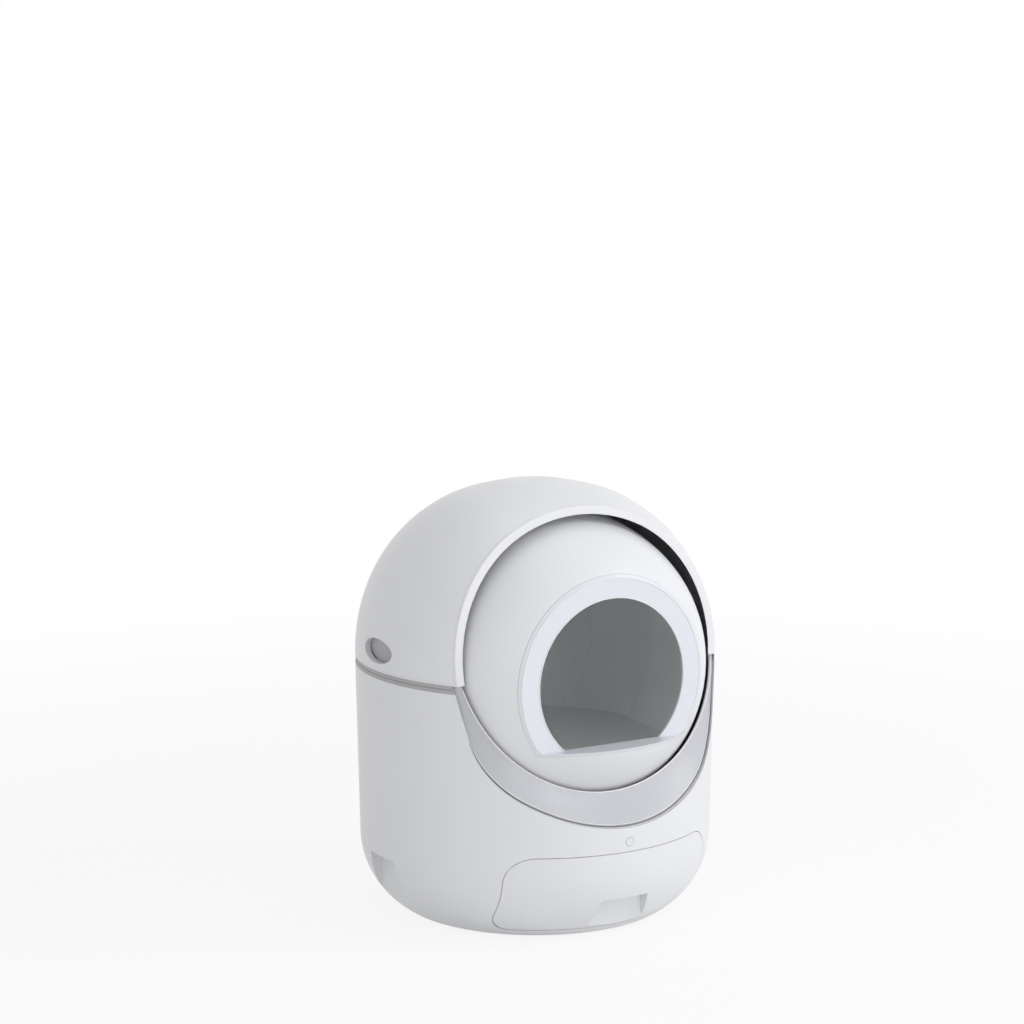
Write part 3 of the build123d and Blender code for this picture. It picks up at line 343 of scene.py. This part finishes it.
def entry_point(share):
    """A point of the entry cut's edge, from the bottom at 0 to the top at 1 or -1."""
    side = 1 if share >= 0 else -1
    rise = ENTRY_RADIUS * (1 - cos(ENTRY_BREAK))
    first = Vector((ENTRY_RADIUS * sin(ENTRY_BREAK), ENTRY_BOTTOM + rise))
    centre = first + ENTRY_CORNER * Vector((-sin(ENTRY_BREAK), cos(ENTRY_BREAK)))
    second = centre + ENTRY_CORNER * Vector((sin(ENTRY_END), -cos(ENTRY_END)))
    third = Vector((second.x + (COLLAR_TOP - second.y) * ENTRY_LEAN, COLLAR_TOP))
    bottom_length = ENTRY_RADIUS * ENTRY_BREAK
    corner_length = ENTRY_CORNER * (ENTRY_END - ENTRY_BREAK)
    side_length = (third - second).length
    way = abs(share) * (bottom_length + corner_length + side_length)
    if way < bottom_length:
        angle = way / ENTRY_RADIUS
        rise = ENTRY_RADIUS * (1 - cos(angle))
        spot = Vector((ENTRY_RADIUS * sin(angle), ENTRY_BOTTOM + rise))
    elif way < bottom_length + corner_length:
        angle = ENTRY_BREAK + (way - bottom_length) / ENTRY_CORNER
        spot = centre + ENTRY_CORNER * Vector((sin(angle), -cos(angle)))
    else:
        spot = second.lerp(third, (way - bottom_length - corner_length) / side_length)
    radius = BODY_RADIUS - (SHELL_TOP - spot.y) * SHELL_LEAN - SHELL_WALL
    return Vector((side * spot.x, -sqrt(radius**2 - spot.x**2), spot.y))


def lip_point(angle):
    """A point of the bowl's front lip, at an angle from the bottom, found step by step."""
    z = LIP_BOTTOM_Z
    for _ in range(LIP_STEPS):
        y = LIP_BOTTOM_Y + (z - LIP_BOTTOM_Z) * LIP_SLOPE
        reach = LIP_RADIAL * sqrt(1 - ((y - LIP_CENTRE_Y) / LIP_AXIAL) ** 2)
        z = (z + AXIS_Z - reach * cos(angle)) / 2
    return Vector((reach * sin(angle), LIP_BOTTOM_Y + (z - LIP_BOTTOM_Z) * LIP_SLOPE, z))


def lip_end():
    """The angle at which the lip meets the collar's top, by halving."""
    low = radians(60.0)
    high = radians(120.0)
    for _ in range(HALVINGS):
        middle = (low + high) / 2
        if lip_point(middle).z < COLLAR_TOP:
            low = middle
        else:
            high = middle
    return low


BEZEL_LINE_END = 0.985
ENTRY_STEP = 0.01


def bezel_line(depth, lift, stations=56):
    """A line on the sloping bezel, from its outer edge at depth 0 to the lip at 1."""
    top_angle = lip_end()
    line = []
    for index in range(stations + 1):
        share = (2 * index / stations - 1) * BEZEL_LINE_END
        outer = entry_point(share)
        inner = lip_point(share * top_angle)
        spot = outer.lerp(inner, depth)
        ahead = entry_point(share + ENTRY_STEP) - entry_point(share - ENTRY_STEP)
        raised = ahead.cross(inner - outer).normalized()
        if raised.y > 0:
            raised.negate()
        line.append(spot + raised * lift)
    return line


white = finishes["white_shell"]
# A dark grey bead near the bezel's outer edge: painted shadow where a groove would be shaded
bead("bezel_groove_painted_shadow", bezel_line(0.05, 0.0001), 0.0011, "base", "gray_collar", groove_shadow_gray)
# Two beads in the shell's white on the grey bezel, one just inside its outer edge and one at the
# lip: painted highlights standing in for the light caught by rounded edges
bead("bezel_ridge_painted_highlight", bezel_line(0.10, -0.0001), 0.0008, "base", "gray_bezel", white)
bead("bezel_lip_painted_highlight", bezel_line(0.985, 0.0), 0.0011, "base", "gray_bezel", white)

# The drum's entrance ring: a bead round its mouth and one round its outer edge
MOUTH_Y = -0.209
MOUTH_RADIUS = 0.1174
RING_RADIUS = 0.1455
SILL_DROP = 0.0885


def ring_line(radius, y, stations=72):
    """The part of a circle about the drum's axis that is above the sill."""
    low = asin(SILL_DROP / radius)
    line = []
    for index in range(stations + 1):
        angle = -low + (pi + 2 * low) * index / stations
        line.append(Vector((radius * cos(angle), y, AXIS_Z + radius * sin(angle))))
    return line


mouth_line = ring_line(MOUTH_RADIUS + 0.0006, MOUTH_Y)
outer_line = ring_line(RING_RADIUS, MOUTH_Y + 0.0002)
bead("mouth_bead", mouth_line, 0.0009, "drum", "bright_white", white)
bead("ring_bead", outer_line, 0.0010, "drum", "bright_white", white)


# Screws with a socket in their heads


SCREW_COUNT = 12
SCREW_FIRST_ANGLE = radians(2.5)
SCREW_Y = 0.033
SCREW_SEAT_RADIUS = 0.2300
HEAD_RADIUS = 0.0022
HEAD_HEIGHT = 0.0010
SHANK_RADIUS = 0.0015
SHANK_LENGTH = 0.0055


def screw(sheet, place, outward):
    """A pan-head screw with a socket: its head's underside is at the place, its shank inwards."""
    before = set(sheet.verts)
    head = bmesh.ops.create_circle(sheet, cap_ends=True, segments=20, radius=HEAD_RADIUS)
    face = head["verts"][0].link_faces[0]
    raised = bmesh.ops.extrude_face_region(sheet, geom=[face])
    risen = [item for item in raised["geom"] if isinstance(item, bmesh.types.BMVert)]
    bmesh.ops.translate(sheet, verts=risen, vec=(0.0, 0.0, HEAD_HEIGHT))
    top = [item for item in raised["geom"] if isinstance(item, bmesh.types.BMFace)]
    for width, step in ((0.16, 0.22), (0.34, 0.0), (0.05, -0.8)):
        thickness = HEAD_RADIUS * width
        bmesh.ops.inset_individual(sheet, faces=top, thickness=thickness, depth=HEAD_HEIGHT * step)
    shank = bmesh.ops.create_cone(
        sheet,
        cap_ends=True,
        segments=16,
        radius1=SHANK_RADIUS * 0.7,
        radius2=SHANK_RADIUS,
        depth=SHANK_LENGTH,
    )
    bmesh.ops.translate(sheet, verts=shank["verts"], vec=(0.0, 0.0, -SHANK_LENGTH / 2))
    turn = outward.to_track_quat("Z", "Y").to_matrix().to_4x4()
    turn.translation = place
    added = [vert for vert in sheet.verts if vert not in before]
    bmesh.ops.transform(sheet, matrix=turn, verts=added)


def drum_screw_heads():
    sheet = bmesh.new()
    for index in range(SCREW_COUNT):
        angle = SCREW_FIRST_ANGLE + 2 * pi * index / SCREW_COUNT
        outward = Vector((sin(angle), 0.0, cos(angle)))
        screw(sheet, Vector((0.0, SCREW_Y, AXIS_Z)) + outward * SCREW_SEAT_RADIUS, outward)
    bmesh.ops.recalc_face_normals(sheet, faces=sheet.faces)
    piece = add_piece("drum_screw_heads", sheet, "drum", "screw_steel")
    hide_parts("drum_screws")


drum_screw_heads()


# The waste port's painted shadow (a dark strip along the shaded gap at the port's back edge), the
# release tabs' ribs and the power button's cap


# Where the painted shadow strip along the port's back edge runs
PORT_SHADOW_RADIUS = 0.2228
PORT_SHADOW_Y = -0.0012
PORT_SHADOW_START_X = -0.0125
PORT_SHADOW_END_X = 0.0905
PORT_SHADOW_STATIONS = 24
RIB_OFFSETS = (-0.009, 0.0, 0.009)
RIB_SIZE = (0.0012, 0.0026, 0.0098)
RIB_X = 0.2489
RIB_Z = 0.3732
CAP_RADIUS = 0.0058
CAP_Z = 0.145
CAP_SKIRT = 0.0006
CAP_STEPS = (
    (0.0003, 0.00010),
    (0.0008, 0.00005),
    (0.0016, 0.00003),
    (0.0008, -0.00010),
    (0.0010, -0.00004),
)


# A dark bead along the port's back edge: painted shadow standing in for the shade in the gap
# between port and shell
def port_gap_shadow():
    start = asin(PORT_SHADOW_START_X / PORT_SHADOW_RADIUS)
    end = asin(PORT_SHADOW_END_X / PORT_SHADOW_RADIUS)
    line = []
    for index in range(PORT_SHADOW_STATIONS + 1):
        angle = start + (end - start) * index / PORT_SHADOW_STATIONS
        x = PORT_SHADOW_RADIUS * sin(angle)
        line.append(Vector((x, PORT_SHADOW_Y, AXIS_Z + PORT_SHADOW_RADIUS * cos(angle))))
    bead("port_gap_shadow", line, 0.0011, "drum", "rubber", port_shadow_dark)


def tab_ribs(side, body):
    """Three short bars up the outside of a tab's stem."""
    sheet = bmesh.new()
    for offset in RIB_OFFSETS:
        made = bmesh.ops.create_cube(sheet, size=1.0)
        bmesh.ops.scale(sheet, vec=RIB_SIZE, verts=made["verts"])
        bmesh.ops.translate(sheet, vec=(side * RIB_X, offset, RIB_Z), verts=made["verts"])
    bmesh.ops.bevel(
        sheet,
        geom=list(sheet.edges),
        offset=0.0004,
        offset_type="OFFSET",
        segments=2,
        profile=0.5,
        affect="EDGES",
        material=-1,
        clamp_overlap=True,
    )
    bmesh.ops.recalc_face_normals(sheet, faces=sheet.faces)
    add_piece(body + "_ribs", sheet, body, "gray_collar")


def button_cap():
    """A slightly domed cap with a dished middle, on the round button."""
    sheet = bmesh.new()
    made = bmesh.ops.create_circle(sheet, cap_ends=True, segments=40, radius=CAP_RADIUS)
    face = made["verts"][0].link_faces[0]
    for thickness, depth in CAP_STEPS:
        bmesh.ops.inset_individual(sheet, faces=[face], thickness=thickness, depth=depth)
    turn = Vector((0.0, -1.0, 0.0)).to_track_quat("Z", "Y").to_matrix().to_4x4()
    turn.translation = Vector((0.0, BUTTON_FACE_Y, CAP_Z))
    bmesh.ops.transform(sheet, matrix=turn, verts=list(sheet.verts))
    edges = [edge for edge in sheet.edges if edge.is_boundary]
    low = bmesh.ops.extrude_edge_only(sheet, edges=edges)
    skirt = [item for item in low["geom"] if isinstance(item, bmesh.types.BMVert)]
    bmesh.ops.translate(sheet, verts=skirt, vec=(0.0, CAP_SKIRT, 0.0))
    bmesh.ops.holes_fill(sheet, edges=[edge for edge in sheet.edges if edge.is_boundary])
    bmesh.ops.recalc_face_normals(sheet, faces=sheet.faces)
    add_piece("power_button_cap", sheet, "power_button", slot_of["power_button"])


BUTTON_FACE_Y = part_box("power_button")[0][1] - 0.00005
port_gap_shadow()
tab_ribs(-1, "release_tab_left")
tab_ribs(1, "release_tab_right")
button_cap()


# Floor, light and camera


def seen_plainly(tree):
    """1 for what the camera, a mirror or glass sees, and 0 for what lights the object."""
    rays = tree.nodes.new("ShaderNodeLightPath")
    total = rays.outputs["Is Camera Ray"]
    for kind in ("Is Glossy Ray", "Is Transmission Ray"):
        joined = tree.nodes.new("ShaderNodeMath")
        joined.operation = "MAXIMUM"
        tree.links.new(total, joined.inputs[0])
        tree.links.new(rays.outputs[kind], joined.inputs[1])
        total = joined.outputs[0]
    return total


FLOOR_SIZE = 40.0
FLOOR_NEAR = 0.7
FLOOR_FAR = 2.6
FLOOR_GLOW = 0.86


def backdrop():
    """A pale floor that turns plain white away from the object, where the surround is white."""
    mesh = bpy.data.meshes.new("floor")
    sheet = bmesh.new()
    bmesh.ops.create_grid(sheet, x_segments=1, y_segments=1, size=FLOOR_SIZE)
    sheet.to_mesh(mesh)
    sheet.free()
    floor = bpy.data.objects.new("floor", mesh)
    bpy.context.scene.collection.objects.link(floor)
    paint = Surface("pale_floor")
    paint.shader.inputs["Base Color"].default_value = rgb(236, 236, 236)
    paint.shader.inputs["Roughness"].default_value = 0.9
    paint.shader.inputs["Specular IOR Level"].default_value = 0.0
    tree = paint.tree
    length = {"operation": "LENGTH"}
    far_off = paint.node("ShaderNodeVectorMath", length, {0: paint.place}, output=1)
    share = FLOOR_GLOW + paint.ramp(far_off, FLOOR_NEAR, FLOOR_FAR) * (1.0 - FLOOR_GLOW)
    share = share * Field(paint, seen_plainly(tree))
    glow = tree.nodes.new("ShaderNodeEmission")
    glow.inputs["Color"].default_value = (1.0, 1.0, 1.0, 1.0)
    blend = tree.nodes.new("ShaderNodeMixShader")
    tree.links.new(share.socket, blend.inputs[0])
    tree.links.new(paint.shader.outputs[0], blend.inputs[1])
    tree.links.new(glow.outputs[0], blend.inputs[2])
    tree.links.new(blend.outputs[0], tree.nodes["Material Output"].inputs["Surface"])
    mesh.materials.append(paint.material)


def surround():
    world = bpy.data.worlds.new("studio")
    bpy.context.scene.world = world
    world.use_nodes = True
    tree = world.node_tree
    room = tree.nodes["Background"]
    room.inputs["Color"].default_value = (1.0, 1.0, 1.0, 1.0)
    room.inputs["Strength"].default_value = 0.5
    white = tree.nodes.new("ShaderNodeBackground")
    white.inputs["Color"].default_value = (1.0, 1.0, 1.0, 1.0)
    white.inputs["Strength"].default_value = 1.0
    blend = tree.nodes.new("ShaderNodeMixShader")
    tree.links.new(seen_plainly(tree), blend.inputs[0])
    tree.links.new(room.outputs[0], blend.inputs[1])
    tree.links.new(white.outputs[0], blend.inputs[2])
    tree.links.new(blend.outputs[0], tree.nodes["World Output"].inputs["Surface"])


def lamp(name, place, target, size, power):
    light = bpy.data.lights.new(name, "AREA")
    light.shape = "DISK"
    light.size = size
    light.energy = power
    holder = bpy.data.objects.new(name, light)
    holder.location = place
    holder.rotation_euler = (Vector(target) - Vector(place)).to_track_quat("-Z", "Y").to_euler()
    bpy.context.scene.collection.objects.link(holder)


def camera():
    lens = bpy.data.cameras.new("camera")
    lens.lens = CAMERA_LENS
    lens.sensor_width = SENSOR
    lens.sensor_fit = "HORIZONTAL"
    lens.clip_end = 50.0
    holder = bpy.data.objects.new("camera", lens)
    holder.location = CAMERA_PLACE
    holder.rotation_euler = (radians(90.0 - CAMERA_PITCH), 0.0, -radians(CAMERA_HEADING))
    bpy.context.scene.collection.objects.link(holder)
    bpy.context.scene.camera = holder


backdrop()
surround()
lamp("key", (2.3, -1.9, 2.2), (0.0, 0.0, 0.45), 1.8, 42.0)
lamp("fill", (-2.6, -1.6, 1.5), (0.0, 0.0, 0.4), 2.4, 13.0)
lamp("top", (0.2, 0.4, 3.0), (0.0, 0.0, 0.5), 2.0, 7.0)
lamp("low_front", (0.5, -3.7, 0.8), (0.0, 0.0, 0.6), 2.0, 25.0)
camera()
bpy.context.scene.view_settings.view_transform = "Standard"
